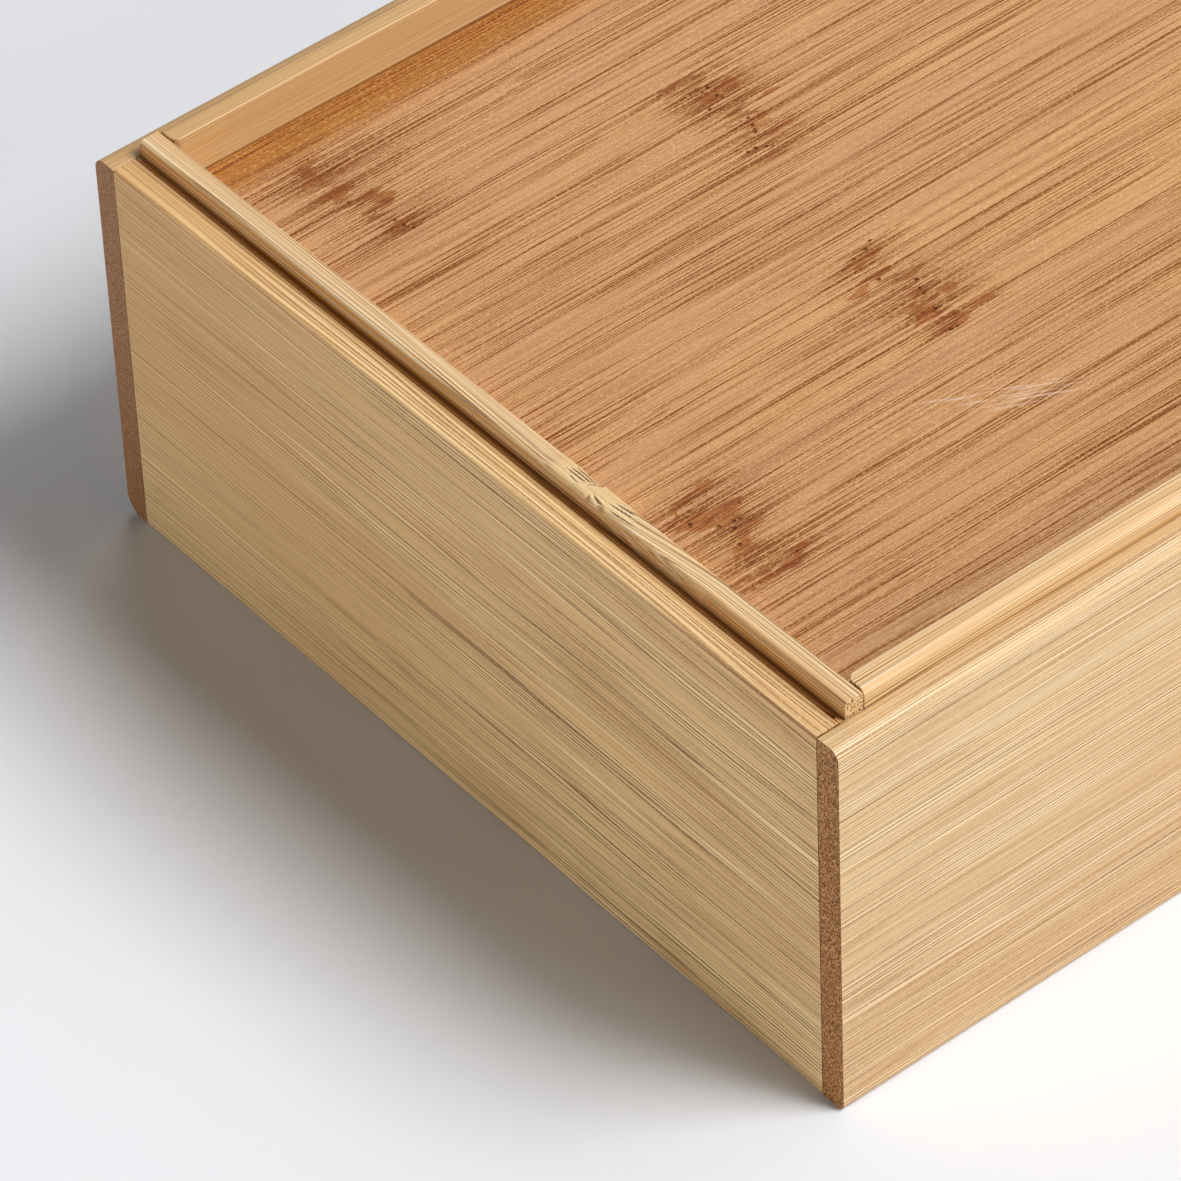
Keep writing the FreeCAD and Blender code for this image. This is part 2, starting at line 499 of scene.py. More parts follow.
@dataclass(frozen=True)
class Scuff:
    """A worn place in the lacquer: short pale scratches that all run one way.

    Args:
        middle: the middle of the place.
        turn: degrees from the fibres to the scratches.
        length: length of the place along the scratches.
        width: its width.
        scratches: the scratches themselves.
        fade: shares of the way from its middle to its edge where the scratches begin and where they are full.
    """

    middle: Triple
    turn: float
    length: float
    width: float
    scratches: Streaks
    fade: Point = (1.0, 0.4)

    def lay(self, surface: Surface) -> None:
        """Paints the scratches over a finish.

        Args:
            surface: the finish under way.
        """
        tree = surface.tree
        turn = (0.0, 0.0, math.radians(self.turn))
        inputs = {"Vector": surface.fibres, "Location": self.middle, "Rotation": turn}
        local = add_node(tree, "Mapping", inputs, vector_type="TEXTURE")
        scale = (2 / self.length, 2 / self.width, 2 / self.width)
        shrunk = add_node(tree, "Mapping", {"Vector": local, "Scale": scale})
        off = add_node(tree, "VectorMath", (shrunk,), operation="LENGTH").outputs["Value"]
        lines = self.scratches.lines(surface, local)
        surface.paint(off, self.scratches.colour, self.scratches.strength, span=self.fade, within=lines)


@dataclass(frozen=True)
class FlatLaidBamboo(Bamboo):
    """Bamboo strips laid flat side by side, each with one culm node across it.

    Args:
        strip_width: width of a strip.
        first_edge: place of the first strip's edge across the panel.
        knots: place of each strip's culm node along the panel.
        tones_and_shade: how far each strip leans to a deep brown; on the first and last strips this is partly
            painted shade beside the front lip strip and a painted dark reflection of the back one.
        reach: farthest place of a culm node from the middle of the panel.
        strip_shift: shift of the pattern from one strip to the next.
        jag: noise that makes the culm nodes ragged.
        jag_reach: how far it moves their edges.
        flame: distance from a culm node where the lines begin to crowd and where they are densest.
        core: distance from it where its marks are densest and where they have gone.
        line_bias: noise level added to the lines at a culm node.
        mark_bias: noise level added to its marks there and away from it.
        marks: the patches and the hatching of a culm node.
        pit_spacing: distance between its pits.
        pit_edge: distance from a pit's middle, in spacings, where it begins and where it is full.
        pit_zone: distance from the culm node where the pits begin and where they are full.
        lip_shade_line: distance from the middle where the painted shade in the corner beside the side strips
            begins and is full.
        scuff: the worn place in its lacquer.
    """

    strip_width: float = 20.6
    first_edge: float = -84.4
    knots: tuple[float, ...] = (30.0, 62.0, -96.0, -50.0, 38.0, -43.5, -91.0, 85.0)
    tones_and_shade: tuple[float, ...] = (0.45, 0.15, 0.15, 0.0, 0.1, 0.0, 0.15, 0.6)
    reach: float = 120.0
    strip_shift: float = 37.7
    jag: Streaks = Streaks(9.0, 4.5, 0.0, 1.0, "#000000", 0.0, 11.0)
    jag_reach: float = 8.0
    flame: Point = (16.0, 1.0)
    core: Point = (0.5, 9.0)
    line_bias: float = 0.025
    mark_bias: Point = (0.06, -0.22)
    marks: tuple[Streaks, ...] = (
        Streaks(6.0, 2.2, 0.53, 0.64, "#94481a", 0.5, 5.3, -0.002),
        Streaks(5.0, 0.5, 0.55, 0.64, "#702a06", 0.5, 5.9, -0.01),
    )
    pit_spacing: float = 1.5
    pit_edge: Point = (0.26, 0.14)
    pit_zone: Point = (2.4, 0.8)
    lip_shade_line: Point = (66.65, 67.15)
    scuff: Scuff = Scuff(
        (-53.0, -36.5, 59.3), -26.0, 34.0, 8.0, Streaks(9.0, 0.4, 0.56, 0.64, "#e6cdbb", 0.4, 9.0)
    )

    def look_up(self, surface: Surface, lane: Node) -> tuple[Node, Socket]:
        """Reads a strip's own values from a table.

        Args:
            surface: the finish under way.
            lane: the number of the strip, counted from the first edge.

        Returns:
            The place of its culm node along the panel, and how far it leans to a deep brown.
        """
        tree, count = surface.tree, len(self.knots)
        place = add_node(tree, "Math", (lane, float(count)), operation="DIVIDE")
        table = add_node(tree, "ValToRGB", (place,))
        table.color_ramp.interpolation = "CONSTANT"
        stops = table.color_ramp.elements
        while len(stops) < count:
            stops.new(0.5)
        for index, (knot, tone_and_shade) in enumerate(zip(self.knots, self.tones_and_shade)):
            stops[index].position = index / count
            stops[index].color = ((knot + self.reach) / (2 * self.reach), tone_and_shade, 0.0, 1.0)
        found = add_node(tree, "SeparateColor", (table,)).outputs
        inputs = (found["Red"], 2 * self.reach, -self.reach)
        return add_node(tree, "Math", inputs, operation="MULTIPLY_ADD"), found["Green"]

    def lay_knots(self, surface: Surface, own: Node, away: Node) -> None:
        """Paints the marks and the pits of the culm nodes.

        Args:
            surface: the finish under way.
            own: fibre coordinates, shifted from strip to strip.
            away: distance from the strip's culm node.
        """
        tree = surface.tree
        inputs = (away, *self.core, *self.mark_bias)
        crowded = add_node(tree, "MapRange", inputs, interpolation_type="SMOOTHSTEP")
        for layer in self.marks:
            lines = layer.lines(surface, own, crowded)
            surface.paint(lines, layer.colour, layer.strength, layer.relief)
        scale = (1 / self.pit_spacing, 1 / self.pit_spacing, 0.0)
        pitted = add_node(tree, "Mapping", {"Vector": own, "Scale": scale})
        off = add_node(tree, "TexVoronoi", {"Vector": pitted, "Scale": 1.0, "Randomness": 1.0})
        zone = add_node(tree, "MapRange", (away, *self.pit_zone), interpolation_type="SMOOTHSTEP")
        surface.paint(off, "#4a1d05", 0.8, relief=-0.12, span=self.pit_edge, within=zone)

    def draw(self, surface: Surface) -> None:
        """Lays the fibre lines strip by strip, denser towards each culm node, and the nodes themselves.

        Args:
            surface: the finish under way.
        """
        tree = surface.tree
        parts = add_node(tree, "SeparateXYZ", (surface.fibres,)).outputs
        along, across = parts["X"], parts["Y"]
        from_edge = add_node(tree, "Math", (across, self.first_edge), operation="SUBTRACT")
        lane = add_node(tree, "Math", (from_edge, self.strip_width), operation="DIVIDE")
        strip = add_node(tree, "Math", (lane,), operation="FLOOR")
        shift = add_node(tree, "Math", (strip, self.strip_shift), operation="MULTIPLY")
        aside = add_node(tree, "CombineXYZ", {"Z": shift})
        own = add_node(tree, "VectorMath", (surface.fibres, aside), operation="ADD")
        knot, tone_and_shade = self.look_up(surface, lane)
        # Each strip's brown, deeper on the first and last strips partly as painted shade and a painted dark
        # reflection by the lip strips.
        surface.paint(tone_and_shade, "#8f4c12", 0.6)
        inputs = (self.jag.level(surface, own), 2 * self.jag_reach, -self.jag_reach)
        ragged = add_node(tree, "Math", inputs, operation="MULTIPLY_ADD")
        beyond = add_node(tree, "Math", (along, knot), operation="SUBTRACT")
        offset = add_node(tree, "Math", (beyond, ragged), operation="ADD")
        away = add_node(tree, "Math", (offset,), operation="ABSOLUTE")
        flame = add_node(tree, "MapRange", (away, *self.flame), interpolation_type="SMOOTHSTEP")
        crowded = add_node(tree, "Math", (flame, self.line_bias), operation="MULTIPLY")
        for layer in self.streaks:
            gathered = layer.gathering(surface, own)
            shown = add_node(tree, "Math", (gathered, flame), operation="MAXIMUM")
            lines = layer.lines(surface, own, crowded)
            surface.paint(lines, layer.colour, layer.strength, layer.relief, within=shown)
        self.lay_knots(surface, own, away)
        # Painted shade: a dark line on the panel in its corner with the side strips.
        from_middle = add_node(tree, "Math", (across,), operation="ABSOLUTE")
        surface.paint(from_middle, "#5a2c06", 0.6, span=self.lip_shade_line)
        self.scuff.lay(surface)


@dataclass(frozen=True)
class MouldedBamboo(Bamboo):
    """A moulded strip whose fibres bend round its knot and whose cutter left burnt faces, with painted shade
    in its groove and knot and painted light on its shoulder.
    """

    def coordinates(self, tree: Tree, grain: Grain) -> Node:
        """Adds the fibre coordinates, shifted sideways where the strip's fibres bend.

        Args:
            tree: the material's node tree.
            grain: the way the fibres run.

        Returns:
            The shifted coordinates.
        """
        straight = super().coordinates(tree, grain)
        sway = add_node(tree, "Attribute", attribute_name=SWAY).outputs["Fac"]
        sideways = add_node(tree, "CombineXYZ", {"Y": sway})
        return add_node(tree, "VectorMath", (straight, sideways), operation="ADD")

    def draw(self, surface: Surface) -> None:
        """Lays the fibre lines, the burnt faces with painted shade deepening them in the groove, painted
        light on the shoulder, and the knot's painted shade in its hollows and pale ridges.

        Args:
            surface: the finish under way.
        """
        scorch_and_shade, shoulder_light, hollow_shade, swell, ridge = (
            add_node(surface.tree, "Attribute", attribute_name=name).outputs["Fac"] for name in FACE_MARKS
        )
        surface.paint(scorch_and_shade, "#c6842c", 0.95, span=(0.1, 0.4))
        super().draw(surface)
        # Darker brown low on the outer face and on the shoulder: partly burn, partly painted shade in the
        # groove.
        surface.paint(scorch_and_shade, "#8a5214", 0.6, span=(0.6, 0.95))
        # Painted light: a paler orange on the shoulder, growing towards its outer edge.
        surface.paint(shoulder_light, "#f0b060", 0.85)
        surface.paint(swell, "#e4c18a", 0.75, span=(0.3, 1.0))
        # Painted shade in the knot's slits and under its nicks.
        surface.paint(hollow_shade, "#7c5528", 0.5, span=(0.0, 1.0))
        surface.paint(ridge, "#f7e6bf", 0.7, span=(0.0, 0.8))


# Carbonised flat-laid bamboo, wide-belt sanded and sprayed with a satin lacquer: caramel, with brown bundle
# lines that break up and crowd together at the culm nodes, and a soft mirror of what stands beside it.
PANEL_BAMBOO = FlatLaidBamboo(
    name="carbonised_flat_laid_bamboo",
    base="#c1863c",
    streaks=(
        Streaks(130.0, 8.0, 0.42, 0.68, "#a8672a", 0.2, 1.0),
        Streaks(90.0, 0.9, 0.52, 0.68, "#984e1c", 0.2, 2.0),
        Streaks(70.0, 0.25, 0.55, 0.6, "#662200", 0.7, 3.0, -0.004, 3.0),
        Streaks(40.0, 0.2, 0.56, 0.605, "#662200", 0.75, 4.0, -0.004, 2.0),
        Streaks(0.5, 0.25, 0.5, 0.72, "#e6b876", 0.4, 6.0),
    ),
    end_grain=EndGrain("#8a5c38", "#553019", "#a5754a", 0.5),
    roughness=0.22,
    drift=0.6,
)

# Natural side-pressed bamboo, planed and sanded with a thin satin lacquer: pale straw colour with fine light
# and brown fibre lines that run the whole length.
WALL_BAMBOO = SidePressedBamboo(
    name="natural_side_pressed_bamboo",
    base="#d5af79",
    streaks=(
        Streaks(160.0, 6.0, 0.44, 0.66, "#c3945a", 0.08, 1.0),
        Streaks(110.0, 0.24, 0.4, 0.66, "#84501f", 0.13, 3.0, -0.004),
        Streaks(130.0, 0.24, 0.4, 0.66, "#fdf0d6", 0.18, 4.0, 0.004),
        Streaks(80.0, 0.2, 0.6, 0.64, "#7a4416", 0.5, 5.0, -0.004),
        Streaks(0.5, 0.2, 0.5, 0.7, "#e8ca9c", 0.35, 6.0),
    ),
    end_grain=EndGrain("#98602e", "#3a1a04", "#cc9a60", 0.26),
    roughness=0.58,
    bundles=Bundles(0.54, 3.0, 90.0, "#945c22", "#fdeac0", 0.6),
    # Painted shade: the board darkens towards the rim, where the box meets the floor.
    rim_shading_colour="#b07c3c",
    rim_shading_strength=0.52,
    rim_shading_height=45.0,
)

# The same board from a riper culm, sanded and lacquered alike: browner, with soft tan clouds between the
# lines, which are bold at the front and faint at the back, and with painted light that makes it paler towards
# the rim.
END_WALL_BAMBOO = replace(
    WALL_BAMBOO,
    name="ripe_side_pressed_bamboo",
    base="#e2b67a",
    streaks=(
        Streaks(50.0, 14.0, 0.44, 0.64, "#c28a50", 0.3, 7.0),
        Streaks(60.0, 0.28, 0.4, 0.66, "#6a3a0a", 0.18, 3.0, -0.004),
        Streaks(70.0, 0.28, 0.4, 0.66, "#f6d8a2", 0.2, 4.0, 0.003),
        Streaks(40.0, 0.25, 0.59, 0.63, "#623206", 0.5, 5.0, -0.004),
        Streaks(0.5, 0.2, 0.5, 0.7, "#e8c694", 0.4, 6.0),
    ),
    bundles=Bundles(0.66, 3.0, 60.0, "#70390a", "#fde2a8", 0.85),
    # Painted light: the board turns paler towards the rim.
    rim_shading_colour="#eccc98",
    rim_shading_strength=0.58,
    rim_shading_height=34.0,
    far_boldness=0.45,
    far_colour="#bc8244",
    far_strength=0.4,
)

# The same board again, as a shaded copy for the back wall: fainter lines on a deeper straw colour, which is
# painted shade, and plainer end grain.
SHADED_BACK_WALL_BAMBOO = replace(
    WALL_BAMBOO,
    name="shaded_side_pressed_bamboo",
    # Painted shade: a deeper base than the front wall's.
    base="#c69c66",
    end_grain=EndGrain("#966640", "#7a4e2c", "#a87850", 0.26),
    boldness=0.35,
    far_boldness=0.35,
)

# Natural bamboo strip, moulded by a cutter and lacquered with the box: paler, with open fibre lines, and
# burnt brown where the cutter rubbed; its moulding adds painted shade in the groove and knot and painted
# light on the shoulder.
LIP_BAMBOO = MouldedBamboo(
    name="natural_moulded_bamboo",
    base="#d9ab6e",
    streaks=(
        Streaks(120.0, 1.0, 0.46, 0.66, "#c3965a", 0.15, 1.0),
        Streaks(70.0, 0.22, 0.42, 0.66, "#7a4816", 0.2, 3.0, -0.005),
        Streaks(70.0, 0.22, 0.4, 0.66, "#fcecd0", 0.3, 4.0, 0.004),
    ),
    end_grain=EndGrain("#d0a972", "#452408", "#e2c292", 0.34),
    roughness=0.5,
    drift=0.4,
    bundles=Bundles(0.52, 3.0, 60.0, "#7e4a14", "#fde0aa", 0.72),
)

# The same strip as a shaded copy for the back lip: fainter lines on a deeper straw colour, which is painted
# shade.
SHADED_BACK_LIP_BAMBOO = replace(LIP_BAMBOO, name="shaded_moulded_bamboo", base="#cb9f66", boldness=0.35)


def cover(piece: bpy.types.Object, made: bpy.types.Material) -> None:
    """Puts one material on a whole piece and reports it.

    Args:
        piece: the piece to dress.
        made: its material.
    """
    piece.data.materials.clear()
    piece.data.materials.append(made)
    LOG.info("%s: %s", piece.name, made.name)


def smooth_step(value: float, low: float, high: float) -> float:
    """Carries a value from zero at low to one at high, with soft ends."""
    share = min(max((value - low) / (high - low), 0.0), 1.0)
    return share * share * (3 - 2 * share)


@dataclass
class WallFrame:
    """The four walls: two long ones that run through and two end walls between them."""

    front: str = "front_wall"
    back: str = "back_wall"
    ends: tuple[str, ...] = ("left_end_wall", "right_end_wall")

    def dress(self) -> None:
        """Gives the walls their bamboo, the fibres along each wall."""
        cover(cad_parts[self.front], WALL_BAMBOO.material(Grain.ALONG_LENGTH))
        cover(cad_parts[self.back], SHADED_BACK_WALL_BAMBOO.material(Grain.ALONG_LENGTH))
        end_cover = END_WALL_BAMBOO.material(Grain.ALONG_WIDTH)
        for name in self.ends:
            cover(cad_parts[name], end_cover)


@dataclass
class BasePanel:
    """The base panel, housed in the walls."""

    node: str = "base_panel"

    def dress(self) -> None:
        """Gives the panel its carbonised bamboo, the fibres along the box."""
        cover(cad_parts[self.node], PANEL_BAMBOO.material(Grain.ALONG_LENGTH))


class Side(Enum):
    """The side of the box that a strip lies on, as the turn in degrees from the front."""

    FRONT = 0.0
    RIGHT = 90.0
    BACK = 180.0
    LEFT = -90.0


@dataclass(frozen=True)
class Cut:
    """A narrow dip in the top of a strip, which runs out at both ends.

    Args:
        start: where the dip begins, along the strip and outward from its inner face.
        end: where it ends.
        width: its full width.
        depth: its greatest depth.
        taper: share of its length over which it runs out at each end.
    """

    start: Point
    end: Point
    width: float
    depth: float
    taper: float = 1 / 3

    def share(self, along: float, outward: float, wider: float = 1.0) -> float:
        """Works out how much of the dip's depth a point gets.

        Args:
            along: place of the point along the strip.
            outward: its distance from the inner face.
            wider: how many times wider than it is the dip is taken to be.

        Returns:
            Zero off the dip, up to one in its middle.
        """
        run = Vector(self.end) - Vector(self.start)
        step = Vector((along, outward)) - Vector(self.start)
        place = step.dot(run) / run.length_squared
        if not 0 < place < 1:
            return 0.0
        off = (step - run * place).length / (self.width * wider / 2)
        return max(0.0, 1 - off * off) * min(1.0, place / self.taper, (1 - place) / self.taper)


@dataclass(frozen=True)
class Knot:
    """The culm node in a strip: a pale swelling with slits where its fibres part.

    Args:
        near: where the swelling begins along the strip.
        far: where it ends.
        rise: height of the swelling over the strip's sanded top.
        slits: the slits between the fibres.
        crease: the step where the fibres from both sides meet.
        ridge: height of the fibres beside the slits over the swelling.
        setback: how far the inner edge steps back before the crease.
        bulge: how far the swelling stands out over the outer face.
        nicks: begin, end and depth of each nick under the outer edge.
        slant: how far the fibres beyond the knot lean inward, per millimetre along the strip.
        slopes: lengths of the swelling's rise and fall.
        step_run: length over which the inner edge steps back.
        lean_start: distance before the swelling's end where the fibres begin to lean.
        lean_run: length over which they lean.
        ridge_width: width of the ridges over a slit, in widths of the slit.
        inner_reach: how far from the inner face the setback reaches.
        outer_reach: how far from the outer face the nicks and the bulge reach.
        fade: heights below the top where the relief begins to fade and has gone.
        bulge_fade: the same for the bulge.
        nick_shade: depth where a nick begins to look dark and where it is darkest.
        shade_top: heights below the top where that dark begins and is full.
    """

    near: float = 11.0
    far: float = 31.0
    rise: float = 0.12
    slits: tuple[Cut, ...] = (
        Cut((15.0, 1.5), (20.0, 1.4), 0.3, 0.22),
        Cut((15.4, 0.98), (20.6, 0.86), 0.3, 0.26),
        Cut((16.0, 0.42), (21.2, 0.38), 0.26, 0.22),
        Cut((21.6, 2.15), (24.4, 2.62), 0.4, 0.35),
        Cut((23.9, 1.76), (29.4, 1.06), 0.3, 0.24),
        Cut((24.6, 2.52), (30.0, 2.0), 0.26, 0.2),
        Cut((24.4, 1.14), (28.6, 0.5), 0.36, 0.22),
        Cut((16.6, 2.05), (19.2, 2.2), 0.4, 0.1),
    )
    crease: Cut = Cut((19.4, 2.0), (21.7, -0.1), 0.34, 0.3)
    ridge: float = 0.06
    setback: float = 0.4
    bulge: float = 0.22
    nicks: tuple[Triple, ...] = ((16.8, 20.8, 0.18), (21.1, 22.2, 0.35), (23.1, 24.9, 0.35))
    slant: float = 0.1
    slopes: Point = (5.0, 8.0)
    step_run: float = 6.0
    lean_start: float = 7.0
    lean_run: float = 20.0
    ridge_width: float = 2.6
    inner_reach: float = 1.2
    outer_reach: float = 0.6
    fade: Point = (0.4, 1.2)
    bulge_fade: Point = (0.5, 1.2)
    nick_shade: Point = (0.15, 0.35)
    shade_top: Point = (0.05, 0.3)

    def relief(self, along: float, outward: float) -> Triple:
        """Works out how deep, how dark and how pale the knot makes one point of the top.

        Args:
            along: place of the point along the strip.
            outward: its distance from the inner face.

        Returns:
            The depth below the ridges, the share of painted shade in the hollows and the share of the ridges.
        """
        depth, dark, pale = self.rise * (1 - self.swell(along)), 0.0, 0.0
        for cut in (*self.slits, self.crease):
            share = cut.share(along, outward)
            depth += cut.depth * share
            dark = max(dark, share)
            pale = max(pale, cut.share(along, outward, self.ridge_width))
        pale *= 1 - min(2 * dark, 1.0)
        return depth + self.ridge * (1 - pale), dark, pale

    def swell(self, along: float) -> float:
        """Gives the share of the swelling at a place along the strip, from zero to one."""
        rise = smooth_step(along, self.near, self.near + self.slopes[0])
        return rise * smooth_step(-along, -self.far, self.slopes[1] - self.far)

    def inner_step(self, along: float) -> float:
        """Gives the step of the inner edge before the crease."""
        end = self.crease.end[0]
        return self.setback * smooth_step(along, end - self.step_run, end) if along < end else 0.0

    def outer_nick(self, along: float) -> float:
        """Gives the depth of the nicks under the outer edge.

        Args:
            along: place along the strip.

        Returns:
            The depth of the deepest nick there.
        """
        deepest = 0.0
        for begin, end, depth in self.nicks:
            share = (along - begin) / (end - begin)
            if 0 < share < 1:
                deepest = max(deepest, depth * math.sin(math.pi * share))
        return deepest

    def lean(self, along: float) -> float:
        """Gives the sideways shift of the fibres."""
        return self.slant * min(max(along - self.far + self.lean_start, 0.0), self.lean_run)


@dataclass
class LipStrip:
    """One strip of the stacking lip: its section, run along the strip.

    Args:
        node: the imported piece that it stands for.
        side: the side of the box that it lies on.
        shoulder: width of the step along its outer side, or zero for none.
        step_down: drop from the top to that step.
        outer_round: radius of the outer top edge.
        inner_round: radius of the inner top edge.
        end_round: radius of the edges round both ends.
        knot: the culm node in it, if there is one.
        corner_round: radius in plan of the inner corners at both ends.
        chip: begin and end of the chip in the shoulder's edge, measured from the near end.
        chip_depth: depth of that chip.
        section_step: distance between points of the section.
        fine_step: distance between points of the top and between sections at the knot.
        end_step: distance between sections near the ends.
        end_zone: length of strip at each end that counts as near it.
        coarse_step: distance between sections elsewhere.
        sharp_angle: angle in degrees from which an edge is shaded sharp.
        tolerance: distance within which a point counts as lying on a face.
        flatness: distance from the top within which a point belongs to its flat part.
    """

    node: str
    side: Side
    shoulder: float = 0.0
    step_down: float = 3.0
    outer_round: float = 0.5
    inner_round: float = 0.2
    end_round: float = 0.3
    knot: Knot | None = None
    corner_round: float = 0.0
    chip: Point = (3.7, 1.3)
    chip_depth: float = 0.42
    section_step: float = 0.4
    fine_step: float = 0.09
    end_step: float = 0.25
    end_zone: float = 5.25
    coarse_step: float = 3.5
    sharp_angle: float = 40.0
    tolerance: float = 0.05
    flatness: float = 0.001

    def measure(self) -> tuple[float, float, float, float, float]:
        """Reads the strip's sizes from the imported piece.

        Returns:
            Half its length, its width, the distance of its inner face from the middle of the box, and the
            heights of its underside and top.
        """
        low, high = (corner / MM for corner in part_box(self.node))
        across, along = (1, 0) if self.side in (Side.FRONT, Side.BACK) else (0, 1)
        width = high[across] - low[across]
        inner = min(abs(low[across]), abs(high[across]))
        return (high[along] - low[along]) / 2, width, inner, low[2], high[2]

    def section(self, shape: bmesh.types.BMesh) -> list[bmesh.types.BMEdge]:
        """Draws the section at the strip's start, with the fibres along X and outward as minus Y.

        Args:
            shape: the mesh under way.

        Returns:
            The edges of the section.
        """
        half, width, inner, floor, top = self.measure()
        face = width - self.shoulder
        corners = [(0.0, floor), (0.0, top), (face, top)]
        if self.shoulder:
            corners += [(face, top - self.step_down), (width, top - self.step_down)]
        corners.append((width, floor))
        verts = [shape.verts.new((-half, -inner - outward, height)) for outward, height in corners]
        for first, second in zip(verts, verts[1:] + verts[:1]):
            shape.edges.new((first, second))
        for vert, radius in ((verts[1], self.inner_round), (verts[2], self.outer_round)):
            bmesh.ops.bevel(
                shape, geom=[vert], offset=radius, offset_type="OFFSET", affect="VERTICES", segments=5,
                profile=0.5, material=-1,
            )
        for edge in list(shape.edges):
            flat_top = all(top - vert.co.z < self.flatness for vert in edge.verts)
            spacing = self.fine_step if self.knot and flat_top else self.section_step
            cuts = int(edge.calc_length() / spacing)
            if cuts:
                bmesh.ops.subdivide_edges(shape, edges=[edge], cuts=cuts)
        return list(shape.edges)

    def stations(self, half: float) -> list[float]:
        """Places the sections along the strip, close together at the knot.

        Args:
            half: half the strip's length.

        Returns:
            The places in order, without the first.
        """
        places, place = [], -half
        while place < half:
            at_knot = self.knot and self.knot.near - self.coarse_step < place < self.knot.far
            at_end = half - abs(place) < self.end_zone
            step = self.fine_step if at_knot else self.end_step if at_end else self.coarse_step
            place = min(place + step, half)
            places.append(place)
        if half - places[-2] < 2 * self.end_round:
            places.pop(-2)
        return places

    def build(self) -> bpy.types.Object:
        """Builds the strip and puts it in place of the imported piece.

        Returns:
            The new piece.
        """
        half = self.measure()[0]
        shape = bmesh.new()
        first = front = self.section(shape)
        start = -half
        for place in self.stations(half):
            grown = bmesh.ops.extrude_edge_only(shape, edges=front)["geom"]
            moved = [item for item in grown if isinstance(item, bmesh.types.BMVert)]
            front = [item for item in grown if isinstance(item, bmesh.types.BMEdge)]
            bmesh.ops.translate(shape, verts=moved, vec=(place - start, 0.0, 0.0))
            start = place
        for rim in (first, front):
            bmesh.ops.contextual_create(shape, geom=rim)
            bmesh.ops.bevel(
                shape, geom=list(rim), offset=self.end_round, offset_type="OFFSET", affect="EDGES",
                segments=3, profile=0.5, material=-1, clamp_overlap=True,
            )
        bmesh.ops.recalc_face_normals(shape, faces=shape.faces)
        self.weather(shape)
        turn = Euler((0, 0, math.radians(self.side.value))).to_matrix()
        bmesh.ops.rotate(shape, verts=shape.verts, cent=(0, 0, 0), matrix=turn)
        bmesh.ops.scale(shape, verts=shape.verts, vec=(MM, MM, MM))
        mesh = bpy.data.meshes.new(f"{self.node}_dressed")
        shape.to_mesh(mesh)
        shape.free()
        mesh.shade_smooth()
        mesh.set_sharp_from_angle(angle=math.radians(self.sharp_angle))
        piece = bpy.data.objects.new(mesh.name, mesh)
        bpy.context.scene.collection.objects.link(piece)
        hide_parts(self.node)
        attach(piece, BODY)
        return piece

    def weather(self, shape: bmesh.types.BMesh) -> None:
        """Trims the strip to its sizes, sinks the knot's relief into it and marks places for the material.

        Args:
            shape: the straight strip.
        """
        half, width, inner, floor, top = self.measure()
        scorch_and_shade, shoulder_light, hollow_shade, swell, ridge, sway = (
            shape.verts.layers.float.new(name) for name in (*FACE_MARKS, SWAY)
        )
        face = width - self.shoulder
        chip_begin, chip_end = self.chip
        knot = self.knot
        for vert in shape.verts:
            vert.co.y = -min(max(-vert.co.y, inner), inner + width)
            vert.co.z = min(max(vert.co.z, floor), top)
            along, outward, below = vert.co.x, -vert.co.y - inner, top - vert.co.z
            from_end = max(half - abs(along), 0.0)
            if from_end < self.corner_round:
                cut_back = self.corner_round - math.sqrt(from_end * (2 * self.corner_round - from_end))
                vert.co.y -= cut_back * (1 - outward / width)
            if self.shoulder and outward > face - self.tolerance:
                if outward > width - self.tolerance and chip_end < half - along < chip_begin:
                    vert.co.y += self.chip_depth * (chip_begin - half + along) / (chip_begin - chip_end)
                # Burnt outer face and shoulder, darker towards the groove's inner corner: partly burn, partly
                # painted shade.
                vert[scorch_and_shade] = min(below / self.step_down, 1.0)
                # Painted light on the shoulder, growing towards its outer edge.
                vert[shoulder_light] = smooth_step(outward, face + self.shoulder / 4, width)
            if not knot:
                continue
            vert[sway] = knot.lean(along)
            if below < knot.fade[1]:
                # The knot's slits get their painted shade here.
                depth, vert[hollow_shade], vert[ridge] = knot.relief(along, outward)
                vert[swell] = knot.swell(along)
                vert.co.z -= depth * (1 - smooth_step(below, *knot.fade))
                vert.co.y -= knot.inner_step(along) * (1 - smooth_step(outward, 0.0, knot.inner_reach))
                if outward > face - knot.outer_reach:
                    nick = knot.outer_nick(along)
                    edge = smooth_step(outward, face - knot.outer_reach, face)
                    stand_out = knot.bulge * vert[swell] * (1 - smooth_step(below, *knot.bulge_fade))
                    vert.co.y += (nick - stand_out) * edge
                    shade = edge * smooth_step(nick, *knot.nick_shade) * smooth_step(below, *knot.shade_top)
                    vert[hollow_shade] = max(vert[hollow_shade], shade)


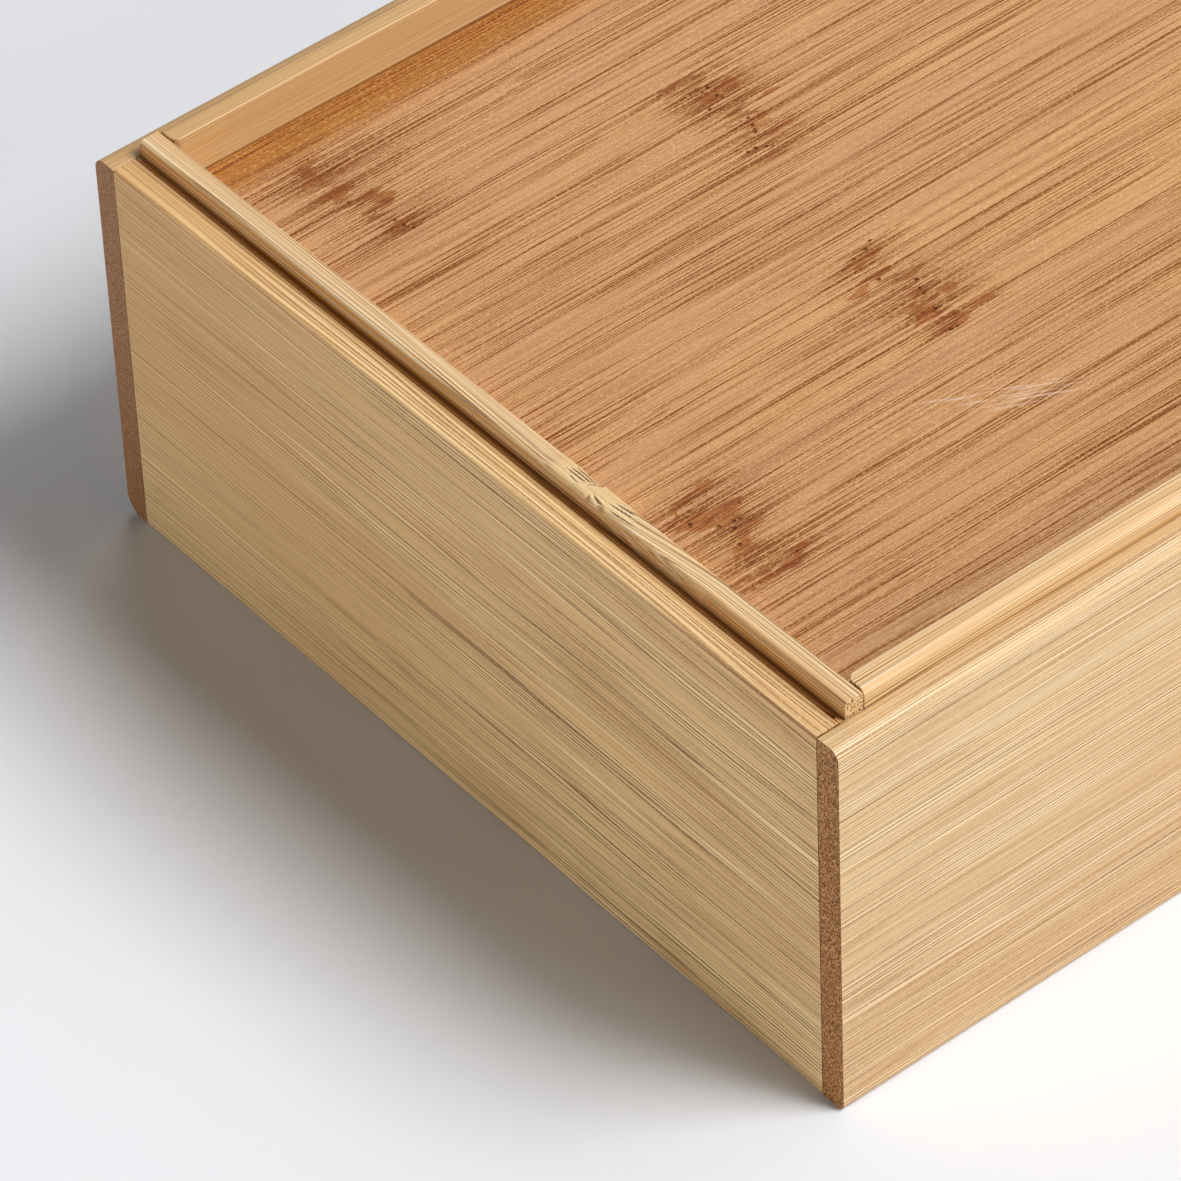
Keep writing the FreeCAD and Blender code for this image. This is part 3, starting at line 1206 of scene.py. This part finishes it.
@dataclass
class StackingLip:
    """The four strips around the base that drop into the next box."""

    shoulder: float = 0.9
    side_round: float = 1.2
    corner_round: float = 1.3
    slot: str = "lip_bamboo"

    def build(self) -> None:
        """Builds the strips and gives them their bamboo, the fibres along each strip."""
        rounds = {"outer_round": self.side_round, "corner_round": self.corner_round}
        end_cover = LIP_BAMBOO.material(Grain.ALONG_WIDTH)
        strips = (
            (LipStrip("front_lip_strip", Side.FRONT, **rounds), LIP_BAMBOO.material(Grain.ALONG_LENGTH)),
            (LipStrip("back_lip_strip", Side.BACK, **rounds), SHADED_BACK_LIP_BAMBOO.material(Grain.ALONG_LENGTH)),
            (LipStrip("left_lip_strip", Side.LEFT, self.shoulder, knot=Knot()), end_cover),
            (LipStrip("right_lip_strip", Side.RIGHT, self.shoulder), end_cover),
        )
        for strip, made in strips:
            piece = strip.build()
            cover(piece, made)


@dataclass(frozen=True)
class Softbox:
    """A round diffused lamp, named by where it stands as seen from the box.

    Args:
        name: name of the lamp.
        azimuth: degrees round the box from the front, positive to the right.
        elevation: degrees above the floor.
        spread: half the angle that it fills, in degrees.
        brightness: radiance of its face.
        glare: whether it shows in glossy faces; a polarised lamp does not.
    """

    name: str
    azimuth: float
    elevation: float
    spread: float
    brightness: float
    glare: bool = True

    def place(self, target: Vector, distance: float) -> None:
        """Sets the lamp up.

        Args:
            target: the point that it faces.
            distance: how far off it stands, in metres.
        """
        turn, rise = math.radians(self.azimuth), math.radians(self.elevation)
        away = Vector((math.cos(rise) * math.sin(turn), -math.cos(rise) * math.cos(turn), math.sin(rise)))
        radius = distance * math.tan(math.radians(self.spread))
        lamp = bpy.data.lights.new(self.name, "AREA")
        lamp.shape = "DISK"
        lamp.size = 2 * radius
        lamp.energy = self.brightness * math.pi * math.pi * radius**2
        stand = bpy.data.objects.new(self.name, lamp)
        stand.location = target + away * distance
        stand.rotation_euler = away.to_track_quat("Z", "Y").to_euler()
        stand.visible_camera = False
        stand.visible_glossy = self.glare
        bpy.context.scene.collection.objects.link(stand)


@dataclass
class Studio:
    """The pale floor, the soft lamps and the camera, whose turn is in degrees and lens in millimetres."""

    softboxes: tuple[Softbox, ...] = (
        Softbox("key_softbox", 38.0, 54.0, 13.0, 16.8),
        Softbox("front_softbox", 20.0, 27.0, 13.0, 7.1),
        Softbox("side_softbox", 75.0, 50.0, 12.0, 2.0),
        Softbox("fill_softbox", -95.0, 12.0, 9.0, 14.2, glare=False),
        Softbox("back_softbox", 137.0, 42.0, 15.0, 2.3),
    )
    lamp_distance: float = 2.5
    target: Triple = (-0.06, 0.0, 0.03)
    floor_size: float = 8.0
    room_light: float = 0.02
    camera_place: Triple = (-0.5553, -0.59549, 0.73829)
    camera_turn: Triple = (46.5093, 1.8636, -39.5511)
    lens: float = 241.334

    def build(self) -> None:
        """Sets up floor, lamps, room light and camera."""
        self.lay_floor()
        for softbox in self.softboxes:
            softbox.place(Vector(self.target), self.lamp_distance)
        self.light_room()
        self.set_camera()

    def lay_floor(self) -> None:
        """Makes the floor that the rim lies on."""
        mesh = bpy.data.meshes.new("floor")
        shape = bmesh.new()
        bmesh.ops.create_grid(shape, x_segments=1, y_segments=1, size=self.floor_size / 2)
        shape.to_mesh(mesh)
        shape.free()
        floor = bpy.data.objects.new("floor", mesh)
        bpy.context.scene.collection.objects.link(floor)
        paper = bpy.data.materials.new("matt_white_paper")
        paper.use_nodes = True
        shader = paper.node_tree.nodes["Principled BSDF"]
        shader.inputs["Base Color"].default_value = linear("#e6e8ec")
        shader.inputs["Roughness"].default_value = 0.9
        shader.inputs["Specular IOR Level"].default_value = 0.1
        mesh.materials.append(paper)

    def light_room(self) -> None:
        """Gives the room a dim even light."""
        world = bpy.data.worlds.new("studio")
        world.use_nodes = True
        sky = world.node_tree.nodes["Background"]
        sky.inputs["Color"].default_value = linear("#ffffff")
        sky.inputs["Strength"].default_value = self.room_light
        bpy.context.scene.world = world
        bpy.context.scene.view_settings.view_transform = "Standard"

    def set_camera(self) -> None:
        """Sets the camera where the photograph was taken from."""
        lens = bpy.data.cameras.new("camera")
        lens.lens = self.lens
        lens.sensor_width = 36.0
        lens.clip_start = 0.05
        lens.clip_end = 20.0
        camera = bpy.data.objects.new("camera", lens)
        camera.location = self.camera_place
        camera.rotation_euler = Euler([math.radians(angle) for angle in self.camera_turn])
        bpy.context.scene.collection.objects.link(camera)
        bpy.context.scene.camera = camera


def main() -> None:
    """Builds and dresses the box piece by piece, then sets up the studio."""
    logging.basicConfig(level=logging.INFO, format="%(message)s")
    WallFrame().dress()
    BasePanel().dress()
    StackingLip().build()
    Studio().build()


if __name__ == "__main__":
    main()
